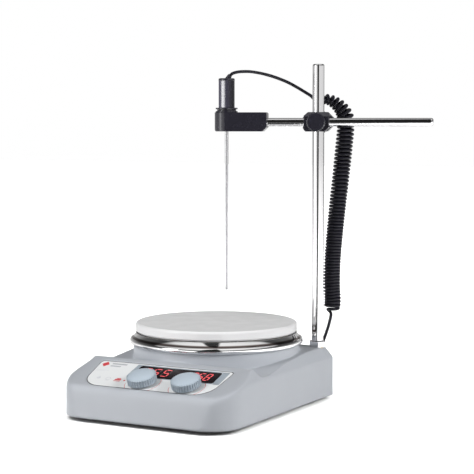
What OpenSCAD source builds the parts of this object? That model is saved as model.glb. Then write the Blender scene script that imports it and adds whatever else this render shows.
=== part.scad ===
// Magnetic stirrer with a heated plate, a support rod and a temperature probe.
// Millimetres. The origin is the centre of the plate's top face.
// +X is right, +Y is back and +Z is up, as seen from the control panel.
// Modules are drawn in bench coordinates: the bench is z = 0 and the housing's centre is x = y = 0.
// on_plate() then moves everything so that the plate's top centre becomes the origin.

/* [Housing] */
// Width of the housing
body_w = 156; // [152:1:164]
// Depth of the housing
body_d = 190; // [188:1:200]
// Height of the rear part's flat top
body_h = 45; // [44:0.5:46]
// Radius of the two front corners, seen from above
front_corner_r = 26; // [24:1:32]
// Radius of the two rear corners, seen from above
rear_corner_r = 2; // [1.5:0.5:5]
// Wall thickness of the casting
wall = 3; // [2.5:0.5:3.5]
// Height of the rubber feet below the base plate
foot_h = 3; // [2.5:0.5:4]

/* [Panel] */
// Height of the panel slope's front edge
panel_low_z = 28.4; // [27:0.2:30]
// Angle of the panel slope from level
panel_tilt = 19; // [18:0.5:20]
// Width of the printed panel sheet
sheet_w = 123; // [118:1:126]
// Height of the printed panel sheet along the slope
sheet_l = 40; // [38:1:41]
// Diameter of the two control knobs
knob_d = 24; // [22:0.5:26]
// Height of the two control knobs
knob_h = 8; // [7:0.5:10]

/* [Plate] */
// Diameter of the heated plate
plate_d = 135; // [133:1:137]
// Thickness of the plate at its edge
plate_h = 8; // [7.5:0.5:8.5]
// Distance from the housing's centre back to the plate's centre
plate_y = 30; // [28:0.5:32]
// Height of the plate's top face above the bench
plate_top = 69; // [69:0.5:71]
// Outside diameter of the collar under the plate
collar_d = 138.8; // [138:0.4:140]

/* [Support] */
// Diameter of the upright rod
rod_d = 10; // [9:0.5:11]
// Height of the rod's top above the bench
rod_top = 283.5; // [270:1:300]
// Height of the arm's axis above the bench
arm_z = 235; // [232:1:238]
// Diameter of the arm
arm_d = 7; // [6:0.5:7.5]
// Angle that the arm is turned to at rest
arm_turn = 21; // [15:1:28]
// Distance from the rod's axis to the probe's axis along the arm
probe_reach = 76; // [74:1:80]

/* [Probe] */
// Diameter of the probe's tube
tube_d = 3; // [2.5:0.5:4]
// Height of the probe's tip above the bench
tip_z = 93.5; // [92:0.5:110]
// Diameter of the probe's cable
cable_d = 2.6; // [2.2:0.1:3]
// Outside diameter of the curly part of the cable
curl_d = 14.4; // [13:0.2:15]

/* [Hidden] */
$fn = 64;

// Running clearance on a radius
slip = 0.05;
// Gap that keeps two fixed faces from touching
gap = 0.1;
// Length that a cutting shape runs past a face
past = 1;

// Housing
front_y = -body_d / 2;
rear_y = body_d / 2;
lean = 4;
panel_front_y = front_y + 5.5;
panel_length = 50;
crest_y = panel_front_y + (panel_length + 0.5) * cos(panel_tilt);
crest_z = panel_low_z + (panel_length + 0.5) * sin(panel_tilt);
valley_y = crest_y + 8;
valley_z = body_h - 7.8;
edge_drop = 9.7;
edge_in = 5.5;
collar_r = collar_d / 2;
collar_top = plate_top - 16;
shelf_z = body_h - 3;
shelf_h = 3;
shelf_r = 46;
base_h = 2;
base_z = foot_h;
floor_z = base_z + base_h;

// Panel: x runs across, y up the slope and z out of it
sheet_low = 3;
sheet_h = 0.6;
recess = 1.2;
window_w = 74;
window_l = 17;
window_x = 15;
window_y = 31.5;
window_h = 0.8;
knob_x = [-5.5, 34.5];
knob_y = 13.5;
knob_lift = 0.9;
board_top = -10;
board_h = 1.6;
encoder_h = 6.5;
spindle_r = 3;
bush_r = 3.5;

// Plate stack
plate_r = plate_d / 2;
plate_bottom = plate_top - plate_h;
heater_r = 56;
heater_h = 1.9;
insulation_h = 5.6;
shield_h = 1.2;
shield_z = plate_bottom - insulation_h - shield_h - 0.3;
post_r = 3;
post_ring = 58;
post_angles = [45, 135, 225, 315];
sensor_x = 12;
lead_spots = [[-50, -8], [-50, 0]];

// Drive
motor_r = 28;
motor_z = 11;
motor_h = 25;
shaft_r = 2.5;
bearing_r = 8;
bearing_h = 5;
yoke_z = 43;
yoke_h = 2.5;
yoke_l = 80;
yoke_w = 18;
magnet_r = 8;
magnet_h = 7;
magnet_x = 30;

// Rear panel
inlet_x = -42;
switch_x = -8;
rear_mid_z = 20;
inlet_w = 27;
inlet_l = 26;
socket_x = 62;
socket_z = 22;

// Support
rod_x = body_w / 2 - 10.2;
rod_y = rear_y - 11;
rod_r = rod_d / 2;
stub_r = 3.5;
nut_h = 5;
nut_r = 7.5;
socket_bottom = 30;
socket_r = 5.2;
socket_neck_r = 4.6;
socket_h = body_h - socket_bottom - 1.6;
arm_r = arm_d / 2;
arm_gap = 12;
arm_left = -probe_reach + 15;
arm_right = 96;
boss_low = -7.7;
boss_high = 8.4;
screw_r = 2;
holder_low = -7.7;
holder_high = 8.2;
holder_r = 10;
holder_right = -41.5;
sleeve_r = 4;

// Probe, heights above the bench
holder_top = arm_z + holder_high;
flange_h = 3.8;
handle_r = 6.7;
handle_z = holder_top + flange_h;
handle_h = 22.6;
cap_h = 2;
cap_z = handle_z + handle_h;
nose_r = 1.9;

// The cable's route behind and beside the rod, in the arm's frame, with z above the arm's axis
lead_route = [
    [-73, -12, 39], [-71.5, -11.9, 40.3], [-69.4, -11.7, 41.2], [-66, -11.2, 41.9], [-62, -10.4, 42.2],
    [-57, -9.3, 42.1], [-50, -7.2, 41.2], [-42, -4.4, 39.3], [-34, -1, 36.7], [-26, 2.8, 33.3],
    [-19, 6.4, 29.5], [-13, 9.8, 25.8], [-8, 13, 22.6]
];
curl_route = [
    [-8, 13, 22.6], [-3, 14, 21.8], [2, 14.8, 20.8], [6.5, 15.3, 19.5], [11, 15.7, 17.4],
    [15.2, 16, 14.4], [18.6, 16.4, 10.6], [21, 16.8, 6], [22, 17, 1], [21.8, 17, -6],
    [20.9, 17, -16], [19.4, 16.9, -32], [17.6, 16.6, -50], [15.6, 16.4, -68], [13.3, 16.2, -92],
    [11.4, 16, -117], [10.6, 16, -140], [10.4, 16, -160]
];
// The curly part's radius along its route: narrow over the arm, full where it hangs
curl_radii = [for (i = [0:len(curl_route) - 1]) min(curl_d / 2, 3 + 0.45 * i)];
// The cable's route from the curly part down to its plug, above the bench
tail_route = [
    [71, 103, 75], [70.6, 103.2, 70], [69, 103.8, 62], [66.6, 104, 54], [64.2, 104, 47],
    [62.6, 103.6, 43], [62, 103, 39]
];

// The cap's nose points from the cap's axis to the cable's first point
nose_base = [-probe_reach, -arm_gap, cap_z + cap_h - 1.2 - arm_z];
nose_way = lead_route[0] - nose_base;
nose_tilt = atan2(nose_way[0], nose_way[2]);
// The direction in which the lead runs into the curly part
lead_end = [0.97, 0.2, -0.15];

steel = [0.78, 0.79, 0.8];
black = [0.14, 0.14, 0.16];
cast_grey = [0.74, 0.76, 0.79];
board_green = [0.1, 0.4, 0.2];

// ---------- general functions and shapes ----------

function unit(v) = v / norm(v);

function turned(v, a) = [v[0] * cos(a) - v[1] * sin(a), v[0] * sin(a) + v[1] * cos(a)];

// The points that round the corner at b, between a and c, with steps + 1 points on the arc
function corner(a, b, c, r, steps) =
    let (
        u = unit(a - b),
        v = unit(c - b),
        half = acos(u * v) / 2,
        cut = r / tan(half),
        centre = b + unit(u + v) * r / sin(half),
        first = b + u * cut - centre,
        sweep = (cross(u, v) < 0 ? 1 : -1) * (180 - 2 * half)
    )
    r == 0 ? [b] : [for (i = [0:steps]) centre + turned(first, sweep * i / steps)];

// A closed outline whose corners are rounded, each by its own radius
function rounded(points, radii, steps = 5) =
    let (n = len(points))
    [
        for (i = [0:n - 1])
            each corner(points[(i + n - 1) % n], points[i], points[(i + 1) % n], radii[i], steps)
    ];

function box_corners(w, l) = [[-w / 2, -l / 2], [w / 2, -l / 2], [w / 2, l / 2], [-w / 2, l / 2]];

// A plate with rounded corners, centred on x = y = 0, standing on z = 0
module rounded_plate(w, l, h, r) {
    linear_extrude(h) polygon(rounded(box_corners(w, l), [r, r, r, r]));
}

module disc(r, h) {
    cylinder(r = r, h = h);
}

// A disc with rounded top and bottom edges
module soft_disc(r, h, edge) {
    rotate_extrude($fn = 96)
        polygon(rounded([[0, 0], [r, 0], [r, h], [0, h]], [0, edge, edge, 0]));
}

module tube(outer, inner, h) {
    difference() {
        cylinder(r = outer, h = h);
        translate([0, 0, -past]) cylinder(r = inner, h = h + 2 * past);
    }
}

// Directions of a route's stretches, and the frame that each ring of a tube is drawn in
function heading(route, i) =
    let (last = len(route) - 1)
    unit(route[min(i + 1, last)] - route[max(i - 1, 0)]);

function across(t) = unit(cross(t, abs(t[1]) < 0.9 ? [0, 1, 0] : [1, 0, 0]));

// A tube swept along a route as one closed polyhedron with flat ends, with a radius at each ring
module swept_tube(route, radii, sides, first, last) {
    rings = len(route);
    points = [
        for (i = [0:rings - 1])
            let (
                t = i == 0 ? first : i == rings - 1 ? last : heading(route, i),
                u = across(t),
                v = cross(t, u)
            )
            for (k = [0:sides - 1])
                route[i] + radii[i] * (u * cos(360 * k / sides) + v * sin(360 * k / sides))
    ];
    walls = [
        for (i = [0:rings - 2])
            for (k = [0:sides - 1])
                let (a = i * sides + k, b = i * sides + (k + 1) % sides)
                each [[a, a + sides, b], [b, a + sides, b + sides]]
    ];
    start_cap = [[for (k = [0:sides - 1]) k]];
    end_cap = [[for (k = [sides - 1:-1:0]) (rings - 1) * sides + k]];
    polyhedron(points, concat(walls, start_cap, end_cap));
}

// ---------- frames ----------

module on_plate() {
    translate([0, -plate_y, -plate_top]) children();
}

module on_panel() {
    translate([0, panel_front_y, panel_low_z]) rotate([panel_tilt, 0, 0]) children();
}

module at_plate_axis(z) {
    translate([0, plate_y, z]) children();
}

module at_rod(z) {
    translate([rod_x, rod_y, z]) children();
}

// The arm's frame: the rod's axis is z, the arm runs along x and -y is towards the user
module on_arm() {
    translate([rod_x, rod_y, arm_z]) rotate([0, 0, arm_turn]) children();
}

module at_probe(z) {
    on_arm() translate([-probe_reach, -arm_gap, z - arm_z]) children();
}

// Rear panel frame: x across, y up and z out of the rear wall
module on_rear(x, z) {
    translate([x, rear_y, z]) rotate([90, 0, 180]) children();
}

// ---------- housing ----------

// Side outline, as y and z, moved in by t
function side_outline(t) =
    let (low = t > 0 ? floor_z - 6 : base_z)
    rounded(
        [
            [front_y + t, low],
            [front_y + lean + 0.9 * t, panel_low_z - 0.5 - 0.8 * t],
            [crest_y - 0.25 * t, crest_z - 1.14 * t],
            [valley_y - 0.4 * t, valley_z - t],
            [valley_y + 12, valley_z - t],
            [valley_y + 46, body_h - 3 - t],
            [valley_y + 86, body_h - t],
            [rear_y - edge_in - 0.6 * t, body_h - t],
            [rear_y - t, body_h - edge_drop - 0.26 * t],
            [rear_y - t, low]
        ],
        [0, 8, 4, 5, 14, 60, 60, 1.5, 4, 0]
    );

// End outline, as x and z, moved in by t: vertical sides with a slanted band above
function end_outline(t) =
    let (
        x = body_w / 2 - t,
        z = body_h - edge_drop - 0.26 * t,
        top_z = body_h + 2 - t,
        top_x = body_w / 2 - 1.15 * t - edge_in * (edge_drop + 2) / edge_drop
    )
    rounded(
        [[-x, -past], [x, -past], [x, z], [top_x, top_z], [-top_x, top_z], [-x, z]],
        [0, 0, 5, 1, 1, 5]
    );

// Plan outline, as x and y, moved in by t
function plan_outline(t) =
    let (
        x = body_w / 2 - t,
        y = body_d / 2 - t,
        f = front_corner_r - t,
        r = max(rear_corner_r - t, 1)
    )
    rounded([[-x, -y], [x, -y], [x, y], [-x, y]], [f, f, r, r], 8);

module housing_form(t) {
    intersection() {
        rotate([90, 0, 90]) linear_extrude(body_w + 2, center = true) polygon(side_outline(t));
        rotate([90, 0, 0]) linear_extrude(body_d + 2, center = true) polygon(end_outline(t));
        translate([0, 0, -past]) linear_extrude(body_h + 5) polygon(plan_outline(t));
    }
}

foot_spots = [[-46, -76], [46, -76], [-52, 70], [52, 70]];

base_screw_spots = [
    [-62, -70], [62, -70], [-70, -28], [70, -28], [-66, 83], [30, 86]
];

board_screw_spots = [[-60, 8], [60, 8], [-60, 36], [60, 36]];

// The round collar under the plate, tapered where it overhangs the rear wall
module collar_form() {
    low = body_h - 18;
    at_plate_axis(0) rotate_extrude($fn = 96) polygon([
        [0, low], [collar_r - 5, low], [collar_r, low + 9], [collar_r, collar_top], [0, collar_top]
    ]);
}

module upper_housing() {
    color(cast_grey) difference() {
        union() {
            difference() {
                union() {
                    housing_form(0);
                    collar_form();
                }
                translate([0, 0, -0.01]) housing_form(wall);
                intersection() {
                    at_plate_axis(floor_z) disc(collar_r - wall, shelf_z - floor_z);
                    linear_extrude(body_h) polygon(plan_outline(wall));
                }
                at_plate_axis(shelf_z + shelf_h) disc(collar_r - wall, collar_top);
            }
            intersection() {
                housing_form(0);
                union() {
                    for (p = base_screw_spots) translate([p[0], p[1], floor_z]) disc(4, body_h);
                    at_rod(socket_bottom) disc(socket_r + 3, body_h);
                    on_panel() for (p = board_screw_spots)
                        translate([p[0], p[1], board_top]) disc(3, -board_top - 2);
                }
            }
        }
        at_plate_axis(shelf_z - past) disc(shelf_r, shelf_h + 2 * past);
        at_plate_axis(0) for (p = lead_spots)
            translate([p[0], p[1], shelf_z - past]) disc(2, shelf_h + 2 * past);
        at_plate_axis(0) for (a = post_angles)
            rotate([0, 0, a]) translate([post_ring, 0, shelf_z - past]) disc(1.5, shelf_h + 2 * past);
        for (p = base_screw_spots) translate([p[0], p[1], floor_z - past]) disc(1.5, 9 + past);
        at_rod(socket_bottom - past) disc(socket_r, socket_h + past);
        at_rod(socket_bottom) disc(socket_neck_r, body_h);
        on_panel() {
            translate([0, sheet_low + sheet_l / 2, -recess]) panel_outline(0.4, 6);
            translate([window_x, window_y, -8]) rounded_plate(window_w - 3, window_l - 3, 9, 1);
            for (x = knob_x) translate([x, knob_y, -6]) disc(bush_r + 0.1, 8);
            for (p = board_screw_spots) translate([p[0], p[1], board_top - past]) disc(1.1, 6 + past);
        }
        on_rear(inlet_x, rear_mid_z) translate([0, 0, -6]) rounded_plate(inlet_w, inlet_l, 8, 2);
        on_rear(switch_x, rear_mid_z) translate([0, 0, -6]) rounded_plate(19, 13, 8, 1);
        on_rear(socket_x, socket_z) translate([0, 0, -6]) disc(6, 8);
    }
}

module panel_outline(grow, h) {
    w = sheet_w / 2 + grow;
    l = sheet_l / 2 + grow;
    linear_extrude(h)
        polygon(rounded([[-w + 4, -l], [w - 4, -l], [w, l], [-w, l]], [17, 17, 3, 3], 8));
}

module base_plate() {
    color([0.3, 0.31, 0.33]) difference() {
        translate([0, 0, base_z]) linear_extrude(base_h) polygon(plan_outline(wall + 1.5));
        for (p = foot_spots) translate([p[0], p[1], 0]) disc(2.6, 10);
        for (p = base_screw_spots) translate([p[0], p[1], 0]) disc(1.7, 10);
        at_plate_axis(0) for (x = [-30, 30], y = [-24, 24]) translate([x, y, 0]) disc(1.6, 10);
        for (i = [0:5]) translate([-25 + 10 * i, -50, base_z - past]) rounded_plate(3, 30, 5, 1.4);
    }
}

module rubber_feet() {
    color(black) for (p = foot_spots) translate([p[0], p[1], 0]) {
        soft_disc(8, foot_h, 0.8);
        disc(2.5, foot_h + base_h + 1);
    }
}

module base_screws() {
    color(steel) for (p = base_screw_spots) translate([p[0], p[1], base_z - 1.7]) {
        soft_disc(2.8, 1.7, 0.5);
        disc(1.45, 10);
    }
}

// ---------- heated plate ----------

module heating_plate() {
    edge = 2.2;
    profile = rounded(
        [
            [0, heater_h + 0.1], [heater_r + 1, heater_h + 0.1], [heater_r + 1, 0],
            [plate_r - 1, 0], [plate_r, 1.5], [plate_r, plate_h], [0, plate_h]
        ],
        [0, 0, 0, 0.6, 0.6, edge, 0]
    );
    color([0.93, 0.93, 0.93]) at_plate_axis(plate_bottom) rotate_extrude($fn = 128) polygon(profile);
}

// A steel ring that stands out as a vee between the plate and the collar
module drip_ring() {
    crown = plate_bottom - 0.4;
    ridge = plate_bottom - 5.8;
    hem = plate_bottom - 9.8;
    color(steel) at_plate_axis(0) rotate_extrude($fn = 128) {
        polygon(rounded(
            [
                [collar_r + 0.5, hem], [collar_r + 3.2, ridge], [plate_r - 0.2, crown],
                [plate_r - 1, crown - 0.5], [collar_r + 1.7, ridge + 0.1],
                [collar_r + 0.2, ridge - 2], [collar_r + 0.2, hem]
            ],
            [0, 0.8, 0.2, 0, 0.6, 0, 0], 3
        ));
        translate([collar_r - wall, collar_top]) square([wall + 0.8, 0.8]);
    }
}

module heater_element() {
    color([0.7, 0.62, 0.45]) at_plate_axis(plate_bottom) difference() {
        disc(heater_r, heater_h);
        translate([sensor_x, 0, -past]) disc(4, heater_h + 2 * past);
    }
}

module insulation_disc() {
    color([0.9, 0.87, 0.78]) at_plate_axis(shield_z + shield_h) difference() {
        disc(heater_r + 5, insulation_h);
        translate([sensor_x, 0, -past]) disc(3, insulation_h + 2 * past);
        stack_holes(shield_z + shield_h, insulation_h);
    }
}

// Holes for the posts and heater leads through a layer of the stack
module stack_holes(z, h) {
    for (a = post_angles) rotate([0, 0, a]) translate([post_ring, 0, -past])
        disc(post_r + 0.5, h + 2 * past);
    for (p = lead_spots) translate([p[0], p[1], -past]) disc(1.6, h + 2 * past);
}

module heat_shield() {
    rim = 3.5;
    r = heater_r + 7;
    color([0.7, 0.71, 0.72]) at_plate_axis(shield_z) difference() {
        disc(r, shield_h + rim);
        translate([0, 0, shield_h]) disc(r - 1, rim + past);
        stack_holes(shield_z, shield_h);
        translate([sensor_x, 0, -past]) disc(3, shield_h + 2 * past);
    }
}

module plate_posts() {
    low = shelf_z + shelf_h;
    color(steel) at_plate_axis(0) for (a = post_angles)
        rotate([0, 0, a]) translate([post_ring, 0, low]) {
            disc(post_r, plate_bottom - low);
            disc(post_r + 1.2, shield_z - low);
            translate([0, 0, -5]) disc(1.45, 6);
            translate([0, 0, -5 - 2]) disc(2.8, 2);
        }
}

module plate_sensor() {
    color(steel) at_plate_axis(0) translate([sensor_x, 0, shield_z - 1])
        disc(2.5, plate_bottom + heater_h + 0.1 - shield_z + 1);
}

module heater_leads() {
    color([0.75, 0.2, 0.15]) at_plate_axis(0) for (p = lead_spots)
        translate([p[0], p[1], 26]) disc(1.1, plate_bottom - 26);
}

// ---------- control panel ----------

module panel_sheet() {
    color([0.95, 0.95, 0.95]) on_panel() difference() {
        translate([0, sheet_low + sheet_l / 2, -recess]) panel_outline(0, sheet_h);
        translate([window_x, window_y, -5]) rounded_plate(window_w + 0.2, window_l + 0.2, 8, 1.5);
        for (x = knob_x) translate([x, knob_y, -5]) disc(bush_r + 1.6, 8);
    }
}

module display_window() {
    color([0.12, 0.1, 0.11]) on_panel() translate([window_x, window_y, -recess])
        rounded_plate(window_w - 0.2, window_l - 0.2, window_h, 1.4);
}

module digit_block(x) {
    width = 32;
    on_panel() translate([x, window_y, board_top]) difference() {
        rounded_plate(width, 15, 6.8, 0.6);
        for (i = [-1:1]) translate([i * 10, 0, 6.3]) rounded_plate(7, 11, 1, 0.4);
    }
}

module left_display() {
    color([0.3, 0.05, 0.05]) digit_block(window_x - 18);
}

module right_display() {
    color([0.3, 0.05, 0.05]) digit_block(window_x + 18);
}

module control_board() {
    color(board_green) difference() {
        on_panel() difference() {
            translate([0, 22, board_top - board_h]) rounded_plate(126, 38, board_h, 3);
            for (p = board_screw_spots) translate([p[0], p[1], -20]) disc(1.3, 20);
        }
        for (i = [0, 1]) translate(base_screw_spots[i]) disc(4.8, body_h);
    }
}

module board_screws() {
    color(steel) on_panel() for (p = board_screw_spots)
        translate([p[0], p[1], board_top - board_h]) {
            translate([0, 0, -1.4]) disc(2.2, 1.4);
            disc(1.05, 6);
        }
}

module encoder(x) {
    wheel_r = 5.2;
    on_panel() translate([x, knob_y, board_top]) difference() {
        union() {
            rounded_plate(13, 13, encoder_h, 0.6);
            disc(bush_r, -board_top + 0.4);
        }
        translate([0, 0, 1]) disc(spindle_r + slip, 20);
        translate([0, 0, 2.4]) disc(wheel_r + 0.2, 2.4);
    }
}

module speed_encoder() {
    color([0.25, 0.3, 0.45]) encoder(knob_x[1]);
}

module temperature_encoder() {
    color([0.25, 0.3, 0.45]) encoder(knob_x[0]);
}

module encoder_wheel(x) {
    on_panel() translate([x, knob_y, board_top + 2.6]) tube(5.2, spindle_r + slip, 2);
}

module speed_encoder_wheel() {
    color([0.8, 0.75, 0.6]) encoder_wheel(knob_x[1]);
}

module temperature_encoder_wheel() {
    color([0.8, 0.75, 0.6]) encoder_wheel(knob_x[0]);
}

module spindle(x) {
    low = board_top + 2.2;
    on_panel() translate([x, knob_y, low]) disc(spindle_r, knob_lift + 5 - low);
}

module speed_spindle() {
    color(steel) spindle(knob_x[1]);
}

module temperature_spindle() {
    color(steel) spindle(knob_x[0]);
}

// A knob with a flat ribbed skirt, a rounded shoulder and a slightly domed top
module control_knob(x) {
    r = knob_d / 2;
    ribs = 36;
    on_panel() translate([x, knob_y, knob_lift]) difference() {
        union() {
            rotate_extrude($fn = 72) polygon(rounded(
                [
                    [0, 0], [r - 0.7, 0], [r - 1.1, knob_h - 2], [r - 4.8, knob_h - 0.5], [0, knob_h]
                ],
                [0, 0.4, 2.2, 5, 0]
            ));
            for (i = [0:ribs - 1]) rotate([0, 0, 360 * i / ribs])
                translate([r - 1.3, -0.45, 0]) cube([1, 0.9, knob_h - 2.4]);
        }
        translate([0, 0, -past]) disc(spindle_r, 6);
        translate([0, 0, -past]) disc(bush_r + 3, past + 0.8);
    }
}

module speed_knob() {
    color([0.66, 0.72, 0.78]) control_knob(knob_x[1]);
}

module temperature_knob() {
    color([0.66, 0.72, 0.78]) control_knob(knob_x[0]);
}

module encoder_nuts() {
    color(steel) on_panel() for (x = knob_x) translate([x, knob_y, -recess]) difference() {
        cylinder(r = bush_r + 1.5, h = 1, $fn = 6);
        translate([0, 0, -past]) disc(bush_r + slip, 4);
    }
}

// ---------- boards and wiring ----------

power_board_z = 14;

module power_board() {
    color(board_green) difference() {
        translate([-53, 28, power_board_z]) rounded_plate(36, 84, board_h, 2);
        for (x = [-68, -38], y = [-10, 66]) translate([x, y, 0]) disc(1.6, 20);
    }
    color(steel) for (x = [-68, -38], y = [-10, 66]) translate([x, y, floor_z])
        difference() {
            disc(2.5, power_board_z - floor_z);
            translate([0, 0, past]) disc(1.3, 20);
        }
}

module power_components() {
    top = power_board_z + board_h;
    color([0.2, 0.2, 0.6]) translate([-50, 54, top]) disc(9, 18);
    color([0.85, 0.75, 0.2]) translate([-53, 4.5, top]) rounded_plate(28, 15, 8, 1);
    color(steel) translate([-63, 26, top]) rounded_plate(5, 26, 20, 0.5);
    color([0.2, 0.45, 0.3]) translate([-50, 26, top]) rounded_plate(8, 16, 26 - top, 0.5);
}

// The outline of a flat strip of the given thickness on the left of a path in the plane
function strip(path, thick) =
    let (
        last = len(path) - 1,
        edge = [
            for (i = [0:last])
                let (d = unit(path[min(i + 1, last)] - path[max(i - 1, 0)]))
                path[i] + thick * [-d[1], d[0]]
        ]
    )
    concat(path, [for (i = [last:-1:0]) edge[i]]);

module ribbon_cable() {
    path = [
        [-61, 25.2], [-60.6, 20], [-58.4, 14], [-53, 10], [-46, 8.6], [-24, 8.6],
        [-19.6, 10], [-17.4, 13.6], [-15.2, 16.2], [-12, 17], [-9, 17]
    ];
    color([0.6, 0.6, 0.62]) rotate([90, 0, 90]) translate([0, 0, -50]) {
        linear_extrude(12) polygon(strip(path, 0.7));
        translate([0, 0, -1]) linear_extrude(14) polygon([[-10, 15.6], [-5, 15.6], [-5, 20], [-10, 20]]);
    }
    color([0.2, 0.2, 0.22]) on_panel() translate([-44, 26.5, board_top - board_h - 4.5])
        rounded_plate(14, 5, 4.5, 0.3);
}

// ---------- rear panel ----------

module power_inlet() {
    flange_w = inlet_w + 4;
    flange_l = inlet_l + 3;
    color(black) on_rear(inlet_x, rear_mid_z) difference() {
        union() {
            rounded_plate(flange_w, flange_l, 2, 3);
            translate([0, 0, -17]) rounded_plate(inlet_w - 0.4, inlet_l - 0.4, 17 + past, 1.5);
        }
        translate([0, 3.6, -14]) rounded_plate(23, 15.6, 20, 4);
        translate([0, -9, -15]) rounded_plate(20.2, 5.2, 20, 0.5);
    }
    color([0.85, 0.75, 0.4]) on_rear(inlet_x, rear_mid_z) for (p = [[-7, 2], [0, 6], [7, 2]])
        translate([p[0], p[1], -15]) rounded_plate(2, 4, 8, 0.3);
}

module fuse_drawer() {
    color([0.2, 0.2, 0.22]) on_rear(inlet_x, rear_mid_z) translate([0, -9, -14]) difference() {
        union() {
            rounded_plate(20, 5, 16.5, 0.4);
            translate([0, 0, 16.2]) rounded_plate(10, 3, 1, 0.3);
        }
        translate([0, 0, 2]) rounded_plate(16, 3.4, 10, 0.4);
    }
}

module switch_frame() {
    color(black) on_rear(switch_x, rear_mid_z) difference() {
        union() {
            rounded_plate(21, 15, 1.6, 1);
            translate([0, 0, -12]) rounded_plate(18.8, 12.8, 12 + past, 0.8);
        }
        translate([0, 0, -9]) rounded_plate(15, 10.4, 20, 0.6);
        translate([0, 0, -3]) rotate([90, 0, 0]) cylinder(r = 1.05, h = 12, center = true, $fn = 24);
    }
}

// A see-saw cap on a cross pin, standing with its left side in
rocker_tilt = 10;

module power_rocker() {
    face = rounded(
        [[-7, -1], [0, -1.8], [7, -1], [6.2, 5], [0, 4.2], [-6.2, 5]],
        [0.6, 2, 0.6, 1, 4, 1]
    );
    color([0.1, 0.1, 0.11]) on_rear(switch_x, rear_mid_z) translate([0, 0, -3])
        rotate([0, rocker_tilt, 0]) {
            rotate([90, 0, 0]) linear_extrude(10, center = true) polygon(face);
            rotate([90, 0, 0]) cylinder(r = 1, h = 11.6, center = true, $fn = 24);
        }
}

module probe_socket() {
    color(steel) on_rear(socket_x, socket_z) {
        tube(8, 5, 1.4);
        translate([0, 0, -9]) tube(5.9, 5, 9 + past);
        translate([0, 0, -9]) disc(5.5, 2);
    }
}

// ---------- drive ----------

module motor_bracket() {
    low = floor_z;
    color([0.7, 0.71, 0.73]) at_plate_axis(0) difference() {
        union() {
            translate([0, 0, motor_z - 2]) rounded_plate(72, 60, 2, 4);
            for (x = [-30, 30], y = [-24, 24]) translate([x, y, low]) disc(3.5, motor_z - 2 - low);
        }
        for (x = [-30, 30], y = [-24, 24]) translate([x, y, low - past]) disc(1.3, 20);
        translate([0, 0, motor_z - 4]) disc(9, 5);
    }
}

module motor_body() {
    color([0.55, 0.56, 0.58]) at_plate_axis(motor_z) difference() {
        soft_disc(motor_r, motor_h, 1.5);
        translate([0, 0, -past]) disc(shaft_r + 1, motor_h + 2 * past);
        translate([0, 0, -past]) disc(bearing_r, bearing_h + past);
        translate([0, 0, motor_h - bearing_h]) disc(bearing_r, bearing_h + past);
    }
}

module motor_screws() {
    color(steel) at_plate_axis(0) for (x = [-30, 30], y = [-24, 24]) translate([x, y, base_z - 1.6]) {
        disc(2.6, 1.6);
        disc(1.25, 9);
    }
}

module motor_bearings() {
    color(steel) at_plate_axis(motor_z) {
        tube(bearing_r, shaft_r + slip, bearing_h);
        translate([0, 0, motor_h - bearing_h]) tube(bearing_r, shaft_r + slip, bearing_h);
    }
}

module motor_shaft() {
    color(steel) at_plate_axis(motor_z - 1) {
        disc(shaft_r, yoke_z - motor_z + 1);
        translate([0, 0, motor_h + 2]) disc(7, yoke_z - motor_z - motor_h - 1);
    }
}

module magnet_yoke() {
    color([0.5, 0.5, 0.52]) at_plate_axis(yoke_z) rounded_plate(yoke_l, yoke_w, yoke_h, 6);
}

module magnets() {
    color([0.35, 0.35, 0.37]) at_plate_axis(yoke_z + yoke_h) for (x = [-magnet_x, magnet_x])
        translate([x, 0, 0]) disc(magnet_r, magnet_h);
}

// ---------- support rod and arm ----------

module rod_socket() {
    color([0.75, 0.65, 0.35]) at_rod(socket_bottom) {
        tube(socket_r, stub_r + slip, socket_h);
        tube(socket_neck_r, stub_r + slip, body_h - socket_bottom);
    }
}

module lock_nut() {
    color(steel) at_rod(body_h + gap) difference() {
        cylinder(r = nut_r, h = nut_h - gap, $fn = 6);
        translate([0, 0, -past]) disc(stub_r + slip, nut_h + 2 * past);
    }
}

module support_rod() {
    dome = 1.5;
    low = body_h + nut_h + gap;
    color(steel) at_rod(0) {
        translate([0, 0, socket_bottom + 4]) disc(stub_r, low - socket_bottom - 4);
        translate([0, 0, low]) rotate_extrude() polygon(rounded(
            [[0, 0], [rod_r, 0], [rod_r, rod_top - low], [0, rod_top - low]], [0, 0.5, dome, 0]
        ));
    }
}

// An outline in x and z with cut corners, extruded from y = y0 to y1
module cut_block(x0, x1, z0, z1, y0, y1, cuts) {
    a = cuts[0];
    b = cuts[1];
    c = cuts[2];
    d = cuts[3];
    translate([0, y1, 0]) rotate([90, 0, 0]) linear_extrude(y1 - y0) polygon([
        [x0 + a, z0], [x1 - b, z0], [x1, z0 + b], [x1, z1 - c],
        [x1 - c, z1], [x0 + d, z1], [x0, z1 - d], [x0, z0 + a]
    ]);
}

module boss_head() {
    side = [[-21, boss_low], [9, boss_low], [9, boss_high], [-14, boss_high], [-21, boss_high - 3.6]];
    color(black) on_arm() difference() {
        intersection() {
            union() {
                cut_block(-10.5, 10.5, boss_low, boss_high, -21, -5, [1.5, 3.5, 1.5, 3]);
                cut_block(-12.5, 12.5, boss_low, boss_high, -6, 9, [2.5, 4.5, 4.5, 4.5]);
            }
            rotate([90, 0, 90]) linear_extrude(40, center = true) polygon(side);
        }
        translate([0, 0, -20]) disc(rod_r + slip, 40);
        translate([-20, -arm_gap, 0]) rotate([0, 90, 0]) disc(arm_r + slip, 40);
        translate([0, -30, 0]) rotate([-90, 0, 0]) disc(screw_r + slip, 15);
        translate([0, 5, 0]) rotate([-90, 0, 0]) disc(screw_r + slip, 15);
    }
}

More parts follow.
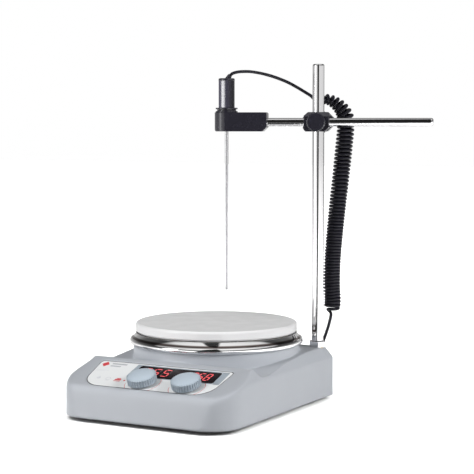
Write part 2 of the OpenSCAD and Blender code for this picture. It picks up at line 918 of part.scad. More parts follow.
// A round knob on a screw; it turns about z, with its tip at z = 0
module clamp_knob(r, reach, h, grips) {
    difference() {
        union() {
            disc(screw_r, reach + 1);
            translate([0, 0, reach]) soft_disc(r, h, 1);
        }
        for (i = [0:grips - 1]) rotate([0, 0, 360 * i / grips])
            translate([r + 0.8, 0, reach - past]) disc(1.1, h + 2 * past);
    }
}

module arm_clamp_knob() {
    color(black) on_arm() translate([0, -arm_gap - arm_r - gap, 0]) rotate([90, 0, 0])
        clamp_knob(7.9, 21.3 - arm_gap - arm_r - gap, 5, 24);
}

module rod_clamp_knob() {
    color(black) on_arm() translate([0, rod_r + gap, 0]) rotate([-90, 0, 0])
        clamp_knob(9.8, 5.2 - gap, 8, 12);
}

module support_arm() {
    length = arm_right - arm_left;
    color(steel) on_arm() translate([arm_left, -arm_gap, 0]) rotate([0, 90, 0]) rotate_extrude()
        polygon(rounded([[0, 0], [arm_r, 0], [arm_r, length], [0, length]], [0, 0.5, 2, 0]));
}

module probe_holder() {
    tall = holder_high - holder_low;
    end_half = 7.5;
    color(black) on_arm() difference() {
        translate([0, -arm_gap, holder_low]) intersection() {
            linear_extrude(tall) {
                translate([-probe_reach, 0]) circle(holder_r);
                polygon([
                    [-probe_reach - 0.6, -holder_r], [holder_right, -end_half],
                    [holder_right, end_half], [-probe_reach - 0.6, holder_r]
                ]);
            }
            translate([0, 0, -holder_low]) cut_block(
                -probe_reach - holder_r, holder_right, holder_low, holder_high,
                -holder_r, holder_r, [1.5, 3.5, 1, 0.5]
            );
        }
        translate([-probe_reach, -arm_gap, -20]) disc(sleeve_r + slip, 40);
        translate([arm_left - gap, -arm_gap, 0]) rotate([0, 90, 0]) disc(arm_r + slip, 40);
        translate([-50, -arm_gap, 0]) rotate([-90, 0, 0]) disc(screw_r, 15);
    }
}

module holder_screw() {
    color(steel) on_arm() translate([-50, -arm_gap + arm_r + gap, 0]) rotate([-90, 0, 0])
        difference() {
            disc(screw_r, 4);
            translate([0, 0, 2]) cylinder(r = 1.1, h = 4, $fn = 6);
        }
}

// ---------- probe ----------

module probe_tube() {
    r = tube_d / 2;
    length = holder_top - tip_z;
    color(steel) at_probe(tip_z) {
        rotate_extrude() polygon(rounded([[0, 0], [r, 0], [r, length], [0, length]], [0, 1.4, 0, 0]));
        translate([0, 0, arm_z + holder_low + 0.4 - tip_z]) disc(sleeve_r, holder_top - arm_z - holder_low - 0.4);
    }
}

module probe_flange() {
    color(black) at_probe(holder_top) rotate_extrude() polygon([
        [0, 0], [9.2, 0], [9.2, 1], [8, 1.2], [8, 2.4], [9.2, 2.6], [9.2, flange_h], [0, flange_h]
    ]);
}

module probe_handle() {
    color(black) at_probe(handle_z) disc(handle_r, handle_h);
}

module probe_cap() {
    color(black) at_probe(cap_z) {
        rotate_extrude() polygon(rounded(
            [[0, 0], [handle_r + 0.15, 0], [handle_r + 0.15, cap_h], [0, cap_h]], [0, 0, 1.2, 0]
        ));
        difference() {
            translate([0, 0, cap_h - 1.2]) rotate([0, nose_tilt, 0]) disc(nose_r, norm(nose_way));
            translate([0, 0, -8]) disc(handle_r, 8);
        }
    }
}

// ---------- cable ----------

function level_radii(route, r) = [for (p = route) r];

module cable_lead() {
    color(black) on_arm() swept_tube(
        lead_route, level_radii(lead_route, cable_d / 2), 8, [sin(nose_tilt), 0, cos(nose_tilt)], lead_end
    );
}

module curly_cable() {
    color(black) on_arm() swept_tube(curl_route, curl_radii, 12, lead_end, [0, 0, -1]);
}

module cable_tail() {
    color(black) swept_tube(tail_route, level_radii(tail_route, cable_d / 2), 8, [0, 0, -1], [0, 0, -1]);
}

// An elbow plug: its barrel enters the socket along y and the cable leaves it upwards
module probe_plug() {
    top = tail_route[len(tail_route) - 1];
    color(black) {
        on_rear(socket_x, socket_z) translate([0, 0, 1.4 + 2 * gap]) soft_disc(7, 10.5, 1.2);
        translate([top[0], top[1], socket_z]) rotate_extrude() polygon([
            [0, 0], [4, 0], [4, 12], [2.2, top[2] - socket_z], [0, top[2] - socket_z]
        ]);
    }
    color(steel) on_rear(socket_x, socket_z) translate([0, 0, -6]) disc(5 - gap, 9);
}

on_plate() upper_housing();
on_plate() base_plate();
on_plate() rubber_feet();
on_plate() base_screws();
on_plate() heating_plate();
on_plate() drip_ring();
on_plate() heater_element();
on_plate() insulation_disc();
on_plate() heat_shield();
on_plate() plate_posts();
on_plate() plate_sensor();
on_plate() heater_leads();
on_plate() panel_sheet();
on_plate() display_window();
on_plate() left_display();
on_plate() right_display();
on_plate() control_board();
on_plate() board_screws();
on_plate() speed_encoder();
on_plate() speed_encoder_wheel();
on_plate() speed_spindle();
on_plate() speed_knob();
on_plate() temperature_encoder();
on_plate() temperature_encoder_wheel();
on_plate() temperature_spindle();
on_plate() temperature_knob();
on_plate() encoder_nuts();
on_plate() ribbon_cable();
on_plate() power_board();
on_plate() power_components();
on_plate() power_inlet();
on_plate() fuse_drawer();
on_plate() switch_frame();
on_plate() power_rocker();
on_plate() probe_socket();
on_plate() motor_bracket();
on_plate() motor_body();
on_plate() motor_screws();
on_plate() motor_bearings();
on_plate() motor_shaft();
on_plate() magnet_yoke();
on_plate() magnets();
on_plate() rod_socket();
on_plate() lock_nut();
on_plate() support_rod();
on_plate() boss_head();
on_plate() rod_clamp_knob();
on_plate() arm_clamp_knob();
on_plate() support_arm();
on_plate() probe_holder();
on_plate() holder_screw();
on_plate() probe_tube();
on_plate() probe_flange();
on_plate() probe_handle();
on_plate() probe_cap();
on_plate() cable_lead();
on_plate() curly_cable();
on_plate() cable_tail();
on_plate() probe_plug();
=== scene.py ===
import math

import bpy
import numpy as np
from mathutils import Matrix, Vector


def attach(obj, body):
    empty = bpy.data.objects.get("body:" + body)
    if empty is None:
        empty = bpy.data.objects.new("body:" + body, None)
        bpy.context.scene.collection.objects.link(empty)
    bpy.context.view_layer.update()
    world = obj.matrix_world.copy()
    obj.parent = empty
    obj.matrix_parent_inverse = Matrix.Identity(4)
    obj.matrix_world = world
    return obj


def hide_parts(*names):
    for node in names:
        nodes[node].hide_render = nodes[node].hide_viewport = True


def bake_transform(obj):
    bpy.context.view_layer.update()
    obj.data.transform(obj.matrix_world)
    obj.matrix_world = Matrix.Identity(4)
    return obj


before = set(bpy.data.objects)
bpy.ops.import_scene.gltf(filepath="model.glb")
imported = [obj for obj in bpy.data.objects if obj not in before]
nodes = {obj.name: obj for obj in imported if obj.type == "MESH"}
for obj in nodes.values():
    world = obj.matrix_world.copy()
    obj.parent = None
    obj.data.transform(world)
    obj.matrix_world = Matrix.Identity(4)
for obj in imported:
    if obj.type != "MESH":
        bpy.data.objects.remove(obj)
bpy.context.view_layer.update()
scene = bpy.context.scene

# ---------- frames: millimetres in, metres in the model's frame out ----------
PLATE = Vector((0.0, 0.030, 0.069))      # the plate's top centre, above the bench
PANEL_Y, PANEL_Z = -89.5, 28.4           # the panel's lower edge, in the bench's frame
PANEL = Vector((0.0, PANEL_Y / 1000, PANEL_Z / 1000)) - PLATE
PANEL_TILT = math.radians(19)
ROD_X, ROD_Y, ARM_Z = 67.8, 84, 235      # the rod's axis and the arm's height, in the bench's frame
ARM = Vector((ROD_X / 1000, ROD_Y / 1000, ARM_Z / 1000)) - PLATE
ARM_TURN = math.radians(21)


def bench(x, y, z):
    """x across, y to the rear and z up from the bench top, under the body's middle."""
    return Vector((x, y, z)) / 1000 - PLATE


def on_panel(x, y, z=0.0):
    """x across, y up the slope and z out of it."""
    p = Matrix.Rotation(PANEL_TILT, 3, "X") @ Vector((x, y, z))
    return PANEL + p / 1000


def on_arm(x, y, z):
    """x along the arm, y away from the user and z up, from the rod's axis."""
    p = Matrix.Rotation(ARM_TURN, 3, "Z") @ Vector((x, y, z))
    return ARM + p / 1000


def step(x, a, b):
    """0 below a, 1 above b, and smooth between them."""
    t = np.clip((x - a) / (b - a), 0, 1)
    return t * t * (3 - 2 * t)


# ---------- camera, fitted to points of the photo ----------
cam = bpy.data.objects.new("camera", bpy.data.cameras.new("camera"))
scene.collection.objects.link(cam)
cam.location = bench(618.2, -1054.3, 236.6)
aim = bench(27.75, 15.3, 141.5) - cam.location
cam.rotation_euler = aim.to_track_quat("-Z", "Y").to_euler()
cam.data.lens = 113.924
cam.data.sensor_width = 36
cam.data.clip_start = 0.05
cam.data.clip_end = 20
scene.camera = cam


# ---------- mesh helpers ----------
def add_mesh(name, verts, faces, smooth=True):
    """A new object in the scene from plain lists of points and faces."""
    me = bpy.data.meshes.new(name)
    me.from_pydata([tuple(v) for v in verts], [], faces)
    me.validate()
    if smooth:
        me.polygons.foreach_set("use_smooth", [True] * len(me.polygons))
    me.update()
    ob = bpy.data.objects.new(name, me)
    scene.collection.objects.link(ob)
    return ob


def smooth_line(points, gap):
    """A centripetal curve through the points, sampled about every gap metres."""
    p = [np.array(q, float) for q in points]
    p = [2 * p[0] - p[1]] + p + [2 * p[-1] - p[-2]]
    out = []
    for i in range(1, len(p) - 2):
        a, b, c, d = p[i - 1 : i + 3]
        t0 = 0.0
        t1 = t0 + np.linalg.norm(b - a) ** 0.5
        t2 = t1 + np.linalg.norm(c - b) ** 0.5
        t3 = t2 + np.linalg.norm(d - c) ** 0.5
        n = max(2, int(np.linalg.norm(c - b) / gap))
        for t in np.linspace(t1, t2, n, endpoint=False):
            e = (t1 - t) / (t1 - t0) * a + (t - t0) / (t1 - t0) * b
            f = (t2 - t) / (t2 - t1) * b + (t - t1) / (t2 - t1) * c
            g = (t3 - t) / (t3 - t2) * c + (t - t2) / (t3 - t2) * d
            h = (t2 - t) / (t2 - t0) * e + (t - t0) / (t2 - t0) * f
            k = (t3 - t) / (t3 - t1) * f + (t - t1) / (t3 - t1) * g
            out.append((t2 - t) / (t2 - t1) * h + (t - t1) / (t2 - t1) * k)
    out.append(p[-2])
    return np.array(out)


def along(path):
    """Each point's distance from the start."""
    return np.concatenate([[0], np.cumsum(np.linalg.norm(np.diff(path, axis=0), axis=1))])


def frames(path, hint=(0.0, 0.0, 1.0)):
    """Tangent and two side vectors at each point, carried along without twist."""
    t = np.gradient(path, axis=0)
    t /= np.linalg.norm(t, axis=1)[:, None]
    u = np.array(hint, float)
    us = []
    for d in t:
        u = u - d * (u @ d)
        if np.linalg.norm(u) < 1e-6:
            u = np.cross(d, (0.3, 0.9, 0.2))
        u = u / np.linalg.norm(u)
        us.append(u)
    us = np.array(us)
    return t, us, np.cross(t, us)


HOSE_CORNER = 1.04      # corners stand outside the round, so that eight flats are as wide as it is


def hose(name, path, radius, sides=8):
    """A closed tube along a path."""
    _, u, v = frames(path, (0.1, 0.2, 1.0))
    verts, faces = [], []
    for i in range(len(path)):
        for k in range(sides):
            a = 2 * math.pi * k / sides
            verts.append(path[i] + HOSE_CORNER * radius * (u[i] * math.cos(a) + v[i] * math.sin(a)))
    for i in range(len(path) - 1):
        for k in range(sides):
            a, b = i * sides + k, i * sides + (k + 1) % sides
            faces.append((a, b, b + sides, a + sides))
    faces.append(tuple(reversed(range(sides))))
    last = (len(path) - 1) * sides
    faces.append(tuple(last + k for k in range(sides)))
    return add_mesh(name, verts, faces)


# ---------- the probe's cable ----------
CABLE_D = 0.0026
POINTS_PER_TURN = 22
FIRST_ANGLE = 2.2       # where round the centreline the first turn starts, in radians
lead_points = [on_arm(*p) for p in [
    (-73, -12, 39), (-71.5, -11.9, 40.3), (-69.4, -11.7, 41.2), (-66, -11, 41.9), (-62.1, -9.6, 42.2),
    (-57.3, -7.2, 42.2), (-50.5, -3.2, 41.3), (-42.7, 1.8, 39.5), (-34.8, 6.2, 36.9), (-26.7, 9.3, 33.5),
    (-19.5, 11.2, 29.6), (-13.2, 12.4, 25.8), (-8, 13, 22.6)]]
curl_points = [on_arm(*p) for p in [
    (-8, 13, 22.6), (-3.8, 13.5, 20.05), (1.2, 14.4, 19.4), (6.5, 15.3, 19.2), (11, 15.7, 17.4),
    (15.2, 16, 14.4), (18.6, 16.4, 10.6), (21, 16.8, 6), (22, 17, 1), (21.8, 17, -6),
    (20.9, 17, -16), (19.4, 16.9, -32), (17.6, 16.6, -50), (15.6, 16.4, -68), (13.3, 16.2, -92),
    (11.4, 16, -117), (10.9, 16, -140), (11.6, 15.8, -153), (10.2, 16, -165)]]
tail_points = [bench(*p) for p in [
    (71.6, 102.6, 70), (70.5, 102.9, 65.5), (68.2, 103.5, 58.5), (65.7, 104, 52), (63.6, 104, 46.5),
    (62.4, 103.6, 43), (62, 103, 39)]]


def curly_path():
    """A helix round the curly part's centreline; its turns are open over the arm and close below."""
    centre = smooth_line(curl_points, 0.0006)
    s = along(centre)
    total = s[-1]
    full = 0.0026 + 0.0036 * step(s, 0.004, 0.042)
    ends = step(s, 0, 0.010) * (1 - step(s, total - 0.008, total))
    radius = (full - 0.0003 * step(s, 0.10, 0.17)) * ends
    pitch = 0.0038 - 0.0005 * step(s, 0.02, 0.07) - 0.00068 * step(s, 0.07, 0.15)
    pitch = pitch + 0.022 * (1 - ends) ** 1.5
    phase = np.concatenate([[0], np.cumsum(2 * math.pi * np.diff(s) / pitch[1:])])
    angles = np.linspace(0, phase[-1], int(phase[-1] / (2 * math.pi) * POINTS_PER_TURN))
    at = np.interp(angles, phase, s)
    _, u, v = frames(centre, (0, -0.3, 1))

    def pick(values):
        return np.stack([np.interp(at, s, values[:, k]) for k in range(3)], 1)

    r = np.interp(at, s, radius)[:, None]
    w = angles[:, None] + FIRST_ANGLE
    return pick(centre) + r * (pick(u) * np.cos(w) + pick(v) * np.sin(w))


lead = smooth_line(lead_points, 0.0012)
curl = curly_path()
tail = smooth_line(tail_points, 0.0012)
whole = np.concatenate([lead[:-1], curl, tail[1:]])
distance = along(whole)
curl_start = float(along(lead)[-1])
# name, the two bodies that it joins, its end along the cable, and the CAD nodes that it stands for
sections = [
    ("cable_at_probe", ("probe", "holder"), 0.0315, ["cable_lead"]),
    ("cable_over_arm", ("holder", "arm"), 0.063, []),
    ("cable_first_turns", ("arm", "boss"), curl_start + 0.24, []),
    ("cable_upper_turns", ("boss", "rod"), curl_start + 0.62, ["curly_cable"]),
    ("cable_lower_turns", ("rod", "housing"), float(distance[-1]), ["cable_tail"]),
]
cords = []
begin = 0
for name, pair, reach, stands_for in sections:
    end = int(np.searchsorted(distance, reach))
    path = whole[begin : end + 1]
    cords.append((hose(name, path, CABLE_D / 2), path, pair, stands_for))
    begin = end

# ---------- node helpers ----------


def value(node, name, v):
    node.inputs[name].default_value = v


def link(nt, a, b):
    nt.links.new(a, b)


def map_range(nt, source, span, to=(0.0, 1.0), smooth=False):
    """A value from one span to another, held at its ends."""
    n = nt.nodes.new("ShaderNodeMapRange")
    if smooth:
        n.interpolation_type = "SMOOTHSTEP"
    for name, v in zip(("From Min", "From Max", "To Min", "To Max"), (*span, *to)):
        value(n, name, v)
    link(nt, source, n.inputs["Value"])
    return n.outputs["Result"]


def ramp(nt, source, stops, smooth=True):
    """A colour ramp over a value from 0 to 1; a stop's colour is a grey or three numbers."""
    r = nt.nodes.new("ShaderNodeValToRGB")
    r.color_ramp.interpolation = "EASE" if smooth else "LINEAR"
    while len(r.color_ramp.elements) < len(stops):
        r.color_ramp.elements.new(0.5)
    for e, (at, colour) in zip(r.color_ramp.elements, stops):
        e.position, e.color = at, (*(colour if isinstance(colour, tuple) else (colour,) * 3), 1)
    link(nt, source, r.inputs[0])
    return r.outputs[0]


def math_node(nt, kind, *sources):
    n = nt.nodes.new("ShaderNodeMath")
    n.operation = kind
    for k, source in enumerate(sources):
        if isinstance(source, (int, float)):
            n.inputs[k].default_value = source
        else:
            link(nt, source, n.inputs[k])
    return n.outputs[0]


# ---------- materials ----------

def material(name, colour, rough=0.4, metal=0.0, vary=0.04, size=0.02, grain=0.0006, bump=0.04,
             stretch=(1, 1, 1), coat=0.0, bevel=0.0, rough_vary=0.08, specular=0.5, second=None):
    """Colour and roughness that drift over size, with a fine bump of the size of grain, all in metres."""
    m = bpy.data.materials.new(name)
    m.use_nodes = True
    nt = m.node_tree
    bsdf = nt.nodes["Principled BSDF"]
    value(bsdf, "Metallic", metal)
    value(bsdf, "Coat Weight", coat)
    value(bsdf, "Coat Roughness", 0.12)
    value(bsdf, "Specular IOR Level", specular)
    coords = nt.nodes.new("ShaderNodeTexCoord")
    mapping = nt.nodes.new("ShaderNodeMapping")
    mapping.inputs["Scale"].default_value = stretch
    link(nt, coords.outputs["Object"], mapping.inputs["Vector"])

    def noise(scale, detail=3.0):
        n = nt.nodes.new("ShaderNodeTexNoise")
        value(n, "Scale", scale)
        value(n, "Detail", detail)
        link(nt, mapping.outputs["Vector"], n.inputs["Vector"])
        return n.outputs["Fac"]

    broad, fine = noise(1 / size), noise(1 / grain, 2.0)
    mix = nt.nodes.new("ShaderNodeMix")
    mix.data_type = "RGBA"
    dark = [c * (1 - vary) for c in colour]
    light = list(second) if second else [min(1, c * (1 + vary)) for c in colour]
    mix.inputs[6].default_value = (*dark, 1)
    mix.inputs[7].default_value = (*light, 1)
    link(nt, broad, mix.inputs[0])
    link(nt, mix.outputs[2], bsdf.inputs["Base Color"])
    roughness = max(0.02, rough - rough_vary), min(1.0, rough + rough_vary)
    link(nt, map_range(nt, noise(3 / size, 4.0), (0.0, 1.0), roughness), bsdf.inputs["Roughness"])
    dent = nt.nodes.new("ShaderNodeBump")
    value(dent, "Strength", bump)
    value(dent, "Distance", grain)
    link(nt, fine, dent.inputs["Height"])
    if bevel:
        soft = nt.nodes.new("ShaderNodeBevel")
        soft.samples = 8
        value(soft, "Radius", bevel)
        link(nt, soft.outputs["Normal"], dent.inputs["Normal"])
    link(nt, dent.outputs["Normal"], bsdf.inputs["Normal"])
    return m


def glow(name, colour, strength):
    """A material that gives off light of its own colour."""
    m = material(name, colour, 0.4, vary=0.1, size=0.004)
    bsdf = m.node_tree.nodes["Principled BSDF"]
    value(bsdf, "Emission Color", (*colour, 1))
    value(bsdf, "Emission Strength", strength)
    return m


def shade_tops(m, least):
    """Paints shade into a material's colour on faces that look up, darkening it to least of it where they
    look straight up.
    """
    nt = m.node_tree
    facing = nt.nodes.new("ShaderNodeSeparateXYZ")
    link(nt, next(n for n in nt.nodes if n.type == "TEX_COORD").outputs["Normal"], facing.inputs[0])
    scaled = nt.nodes.new("ShaderNodeVectorMath")
    scaled.operation = "SCALE"
    base = nt.nodes["Principled BSDF"].inputs["Base Color"]
    link(nt, base.links[0].from_socket, scaled.inputs[0])
    link(nt, map_range(nt, facing.outputs[2], (0.55, 0.93), (1.0, least), True), scaled.inputs["Scale"])
    link(nt, scaled.outputs[0], base)


def paint_reflection_bands(m, low, high, stops):
    """Paints reflection bands into a material's colour by height, between two heights in millimetres above
    the bench.
    """
    nt = m.node_tree
    split = nt.nodes.new("ShaderNodeSeparateXYZ")
    link(nt, next(n for n in nt.nodes if n.type == "TEX_COORD").outputs["Object"], split.inputs[0])
    height = map_range(nt, split.outputs[2], (bench(0, 0, low).z, bench(0, 0, high).z))
    link(nt, ramp(nt, height, stops, False), nt.nodes["Principled BSDF"].inputs["Base Color"])


cast = material("cast_housing", (0.497, 0.522, 0.562), 0.42, vary=0.03, size=0.05, grain=0.0009, bump=0.07,
                bevel=0.0005, coat=0.06)
# painted shade: the housing's colour is darkened on faces that look up
shade_tops(cast, 0.80)
white_plate = material("plate_coating", (0.86, 0.86, 0.865), 0.22, vary=0.015, size=0.05, grain=0.0012,
                       bump=0.03, bevel=0.0006, coat=0.5)
ring_steel = material("ring_steel", (0.86, 0.86, 0.865), 0.06, metal=1.0, vary=0.03, size=0.012, grain=0.0005,
                      bump=0.006, rough_vary=0.02, bevel=0.0003)
polished = material("polished_steel", (0.70, 0.695, 0.70), 0.07, metal=1.0, vary=0.04, size=0.012,
                    grain=0.0005, bump=0.012, stretch=(1, 1, 0.08), rough_vary=0.03, bevel=0.0004)
nut_steel = material("nut_steel", (0.62, 0.62, 0.63), 0.16, metal=1.0, vary=0.05, size=0.006, grain=0.0004,
                     bump=0.03, bevel=0.0004)
tube_steel = material("tube_steel", (0.46, 0.46, 0.47), 0.22, metal=1.0, vary=0.06, size=0.01, grain=0.0004,
                      bump=0.03, stretch=(1, 1, 0.1))
# painted reflection: a dark brown band on the drip ring's cone stands in for the reflection of the dark gap
# under the plate
paint_reflection_bands(ring_steel, 55.6, 60.6, [(0.0, 0.9), (0.10, (0.9, 0.88, 0.87)), (0.20, (0.10, 0.08, 0.075)),
                                    (0.40, (0.16, 0.13, 0.12)), (0.55, 0.9), (1.0, 0.9)])
steel = material("brushed_steel", (0.62, 0.62, 0.63), 0.28, metal=1.0, vary=0.06, size=0.006, grain=0.0003,
                 bump=0.06, bevel=0.0003)
sheet_metal = material("sheet_metal", (0.66, 0.67, 0.68), 0.34, metal=1.0, vary=0.06, size=0.02, grain=0.0008,
                       bump=0.08, bevel=0.0004)
brass = material("brass", (0.72, 0.55, 0.26), 0.3, metal=1.0, vary=0.08, size=0.01, grain=0.0005, bump=0.06)
# near-black: partly the base plate's own paint, partly painted shade for the gap under the housing
base_paint_and_gap_shade = material("base_paint_and_gap_shade", (0.030, 0.031, 0.035), 0.5, vary=0.12, size=0.02, grain=0.0005, bump=0.2)
rubber = material("black_rubber", (0.018, 0.018, 0.02), 0.7, vary=0.15, size=0.004, grain=0.0003, bump=0.25,
                  bevel=0.0006)
print_white = material("panel_print", (0.79, 0.805, 0.81), 0.33, vary=0.012, size=0.03, grain=0.0003,
                       bump=0.03)
print_grey = material("panel_grey", (0.33, 0.38, 0.43), 0.35, vary=0.03, size=0.02, grain=0.0003, bump=0.03)
ink_grey = material("ink_grey", (0.45, 0.46, 0.49), 0.4, vary=0.08, size=0.004, grain=0.0003, bump=0.02)
ink_pale = material("ink_pale", (0.66, 0.67, 0.70), 0.4, vary=0.05, size=0.004, grain=0.0003, bump=0.02)
ink_red = material("ink_red", (0.62, 0.05, 0.06), 0.4, vary=0.10, size=0.004, grain=0.0003, bump=0.02)
window = material("window_tint", (0.012, 0.008, 0.010), 0.20, specular=0.07, vary=0.25, size=0.01,
                  grain=0.0006, bump=0.008)
digit_red = glow("digit_red", (0.74, 0.09, 0.10), 0.50)
digit_off = material("digit_off", (0.035, 0.012, 0.014), 0.3, vary=0.2, size=0.004)
display = material("display_block", (0.05, 0.01, 0.012), 0.4, vary=0.2, size=0.006)
knob = material("knob_plastic", (0.465, 0.54, 0.61), 0.30, vary=0.02, size=0.02, grain=0.0004, bump=0.02,
                bevel=0.0005, coat=0.10, rough_vary=0.02)
black = material("black_plastic", (0.020, 0.019, 0.027), 0.33, vary=0.2, size=0.008, grain=0.0004, bump=0.10,
                 bevel=0.0008, coat=0.1)
clamp = material("clamp_plastic", (0.019, 0.018, 0.027), 0.26, vary=0.15, size=0.008, grain=0.0004,
                 bump=0.035, bevel=0.0009, coat=0.2, rough_vary=0.05)
grip = material("handle_plastic", (0.008, 0.0075, 0.012), 0.30, vary=0.15, size=0.01, grain=0.0004, bump=0.02,
                bevel=0.0004, specular=0.25)
cable = material("cable_vinyl", (0.008, 0.0075, 0.013), 0.38, vary=0.2, size=0.004, grain=0.0004, bump=0.05,
                 specular=0.28)
board = material("board_resin", (0.025, 0.16, 0.065), 0.35, vary=0.2, size=0.003, grain=0.0003, bump=0.2)
parts = material("component_mix", (0.12, 0.13, 0.20), 0.4, vary=0.3, size=0.01, second=(0.3, 0.28, 0.1))
cream = material("insulation", (0.66, 0.62, 0.52), 0.9, vary=0.1, size=0.004, grain=0.0008, bump=0.6)
red_wire = material("lead_sleeve", (0.45, 0.05, 0.04), 0.45, vary=0.1, size=0.004)
ribbon = material("ribbon_vinyl", (0.35, 0.35, 0.37), 0.5, vary=0.2, size=0.0013, stretch=(1, 0.05, 0.05))
magnet = material("magnet_alloy", (0.10, 0.10, 0.11), 0.45, metal=0.7, vary=0.2, size=0.004, bump=0.2)
cases = material("encoder_case", (0.05, 0.08, 0.16), 0.4, vary=0.1, size=0.004)
pale_plastic = material("wheel_plastic", (0.55, 0.5, 0.38), 0.5, vary=0.1, size=0.004)

looks = {
    cast: ["upper_housing"], white_plate: ["heating_plate"],
    ring_steel: ["drip_ring"], polished: ["support_rod", "support_arm"], nut_steel: ["lock_nut"],
    tube_steel: ["probe_tube"],
    steel: ["base_screws", "plate_posts", "plate_sensor", "board_screws", "speed_spindle",
            "temperature_spindle", "encoder_nuts", "probe_socket", "motor_screws", "motor_bearings",
            "motor_shaft", "holder_screw", "motor_body"],
    sheet_metal: ["heat_shield", "motor_bracket", "magnet_yoke"], brass: ["heater_element", "rod_socket"],
    base_paint_and_gap_shade: ["base_plate"], rubber: ["rubber_feet"], print_white: ["panel_sheet"],
    window: ["display_window"], display: ["left_display", "right_display"],
    knob: ["speed_knob", "temperature_knob"],
    black: ["power_inlet", "fuse_drawer", "switch_frame", "power_rocker", "probe_plug"],
    clamp: ["boss_head", "rod_clamp_knob", "arm_clamp_knob", "probe_holder", "probe_flange", "probe_cap"],
    grip: ["probe_handle"],
    board: ["control_board", "power_board"], parts: ["power_components"], cream: ["insulation_disc"],
    red_wire: ["heater_leads"], ribbon: ["ribbon_cable"], magnet: ["magnets"],
    cases: ["speed_encoder", "temperature_encoder"],
    pale_plastic: ["speed_encoder_wheel", "temperature_encoder_wheel"],
}
for m, group in looks.items():
    for n in group:
        ob = nodes[n]
        ob.data.materials.clear()
        ob.data.materials.append(m)


def finish_piece(ob, m, body, slot, *replaced):
    """Gives a piece its material and body, and hides the CAD nodes that it stands for; slot is not used."""
    ob.data.materials.append(m)
    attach(ob, body)
    if replaced:
        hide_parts(*replaced)
    return ob


for piece, path, pair, stands_for in cords:
    piece.data.materials.append(cable)
    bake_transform(piece)
    if stands_for:
        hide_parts(*stands_for)


# ---------- the cast housing, with its soft fillets ----------


def rounded_mesh(ob, name, voxel, rounds, hold):
    """A copy of a CAD solid, remeshed and smoothed by as much as hold lets each point move."""
    me = ob.data.copy()
    piece = bpy.data.objects.new(name, me)
    scene.collection.objects.link(piece)
    mod = piece.modifiers.new("remesh", "REMESH")
    mod.mode, mod.voxel_size, mod.adaptivity = "VOXEL", voxel, 0.0
    done = bpy.data.meshes.new_from_object(piece.evaluated_get(bpy.context.evaluated_depsgraph_get()))
    piece.modifiers.clear()
    piece.data = done
    n = len(done.vertices)
    co = np.empty(n * 3)
    done.vertices.foreach_get("co", co)
    co = co.reshape(n, 3)
    ends = np.empty(len(done.edges) * 2, int)
    done.edges.foreach_get("vertices", ends)
    a, b = ends.reshape(-1, 2).T
    count = np.bincount(a, minlength=n) + np.bincount(b, minlength=n)
    weight = hold(co)[:, None]
    for k in range(rounds):
        total = np.stack([np.bincount(a, co[b, i], n) + np.bincount(b, co[a, i], n) for i in range(3)], 1)
        co = co + 0.5 * weight * (total / count[:, None] - co)
    done.vertices.foreach_set("co", co.ravel())
    done.polygons.foreach_set("use_smooth", [True] * len(done.polygons))
    done.update()
    done.materials.clear()
    return piece


# the panel's recess, in its own frame: half its width and length, and the middle of its length
RECESS_X, RECESS_Y, RECESS_MID = 61.5, 20, 23


def shell_hold(co):
    """Full smoothing on the outer fillets; hardly any at the panel's recess, rear wall, foot and collar."""
    x, y, z = ((co - np.array(bench(0, 0, 0))) * 1000).T
    c, s = math.cos(PANEL_TILT), math.sin(PANEL_TILT)
    up = (y - PANEL_Y) * c + (z - PANEL_Z) * s
    out = -(y - PANEL_Y) * s + (z - PANEL_Z) * c
    dx, dy = np.abs(x) - RECESS_X, np.abs(up - RECESS_MID) - RECESS_Y
    gap = np.hypot(np.maximum(dx, 0), np.maximum(dy, 0)) + np.minimum(np.maximum(dx, dy), 0)
    panel = np.where(np.abs(out) < 5, step(gap, 0.8, 4.5), 1.0)
    foot = step(z, 6, 12)
    rear = 1 - 0.9 * step(y, 80, 88)
    radial = np.hypot(x, y - 30)
    collar = np.where((z > 36) & (y > -60), 0.06 + 0.94 * step(radial, 71, 82), 1.0)
    post = step(np.hypot(x - ROD_X, y - ROD_Y), 12, 22)
    valley = 1 - step(y, -54, -43)
    return 0.01 + 0.99 * panel * foot * rear * collar * post * valley


housing_shell = rounded_mesh(nodes["upper_housing"], "housing_shell", 0.0009, 60, shell_hold)
finish_piece(housing_shell, cast, "housing", "cast_housing", "upper_housing")


# ---------- the drip ring: a thin steel cone that rolls over into a bead ----------


def lathe(name, profile, centre, sides=256):
    """A closed profile of radius and height in metres, turned round a vertical axis."""
    verts, faces = [], []
    n = len(profile)
    for k in range(sides):
        t = 2 * math.pi * k / sides
        verts += [(centre.x + r * math.cos(t), centre.y + r * math.sin(t), centre.z + z) for r, z in profile]
    for k in range(sides):
        a, b = k * n, (k + 1) % sides * n
        faces += [(a + j, b + j, b + (j + 1) % n, a + (j + 1) % n) for j in range(n)]
    return add_mesh(name, verts, faces)


def curve2(points, steps=6):
    """A smooth run through (r, z) points in millimetres."""
    p = [np.array(q, float) for q in points]
    p = [2 * p[0] - p[1]] + p + [2 * p[-1] - p[-2]]
    out = []
    for i in range(1, len(p) - 2):
        for t in np.linspace(0, 1, steps, endpoint=False):
            out.append(0.5 * (2 * p[i] + (p[i + 1] - p[i - 1]) * t
                              + (2 * p[i - 1] - 5 * p[i] + 4 * p[i + 1] - p[i + 2]) * t * t
                              + (3 * p[i] - p[i - 1] - 3 * p[i + 1] + p[i + 2]) * t ** 3))
    out.append(p[-2])
    return [(q[0] / 1000, q[1] / 1000) for q in out]


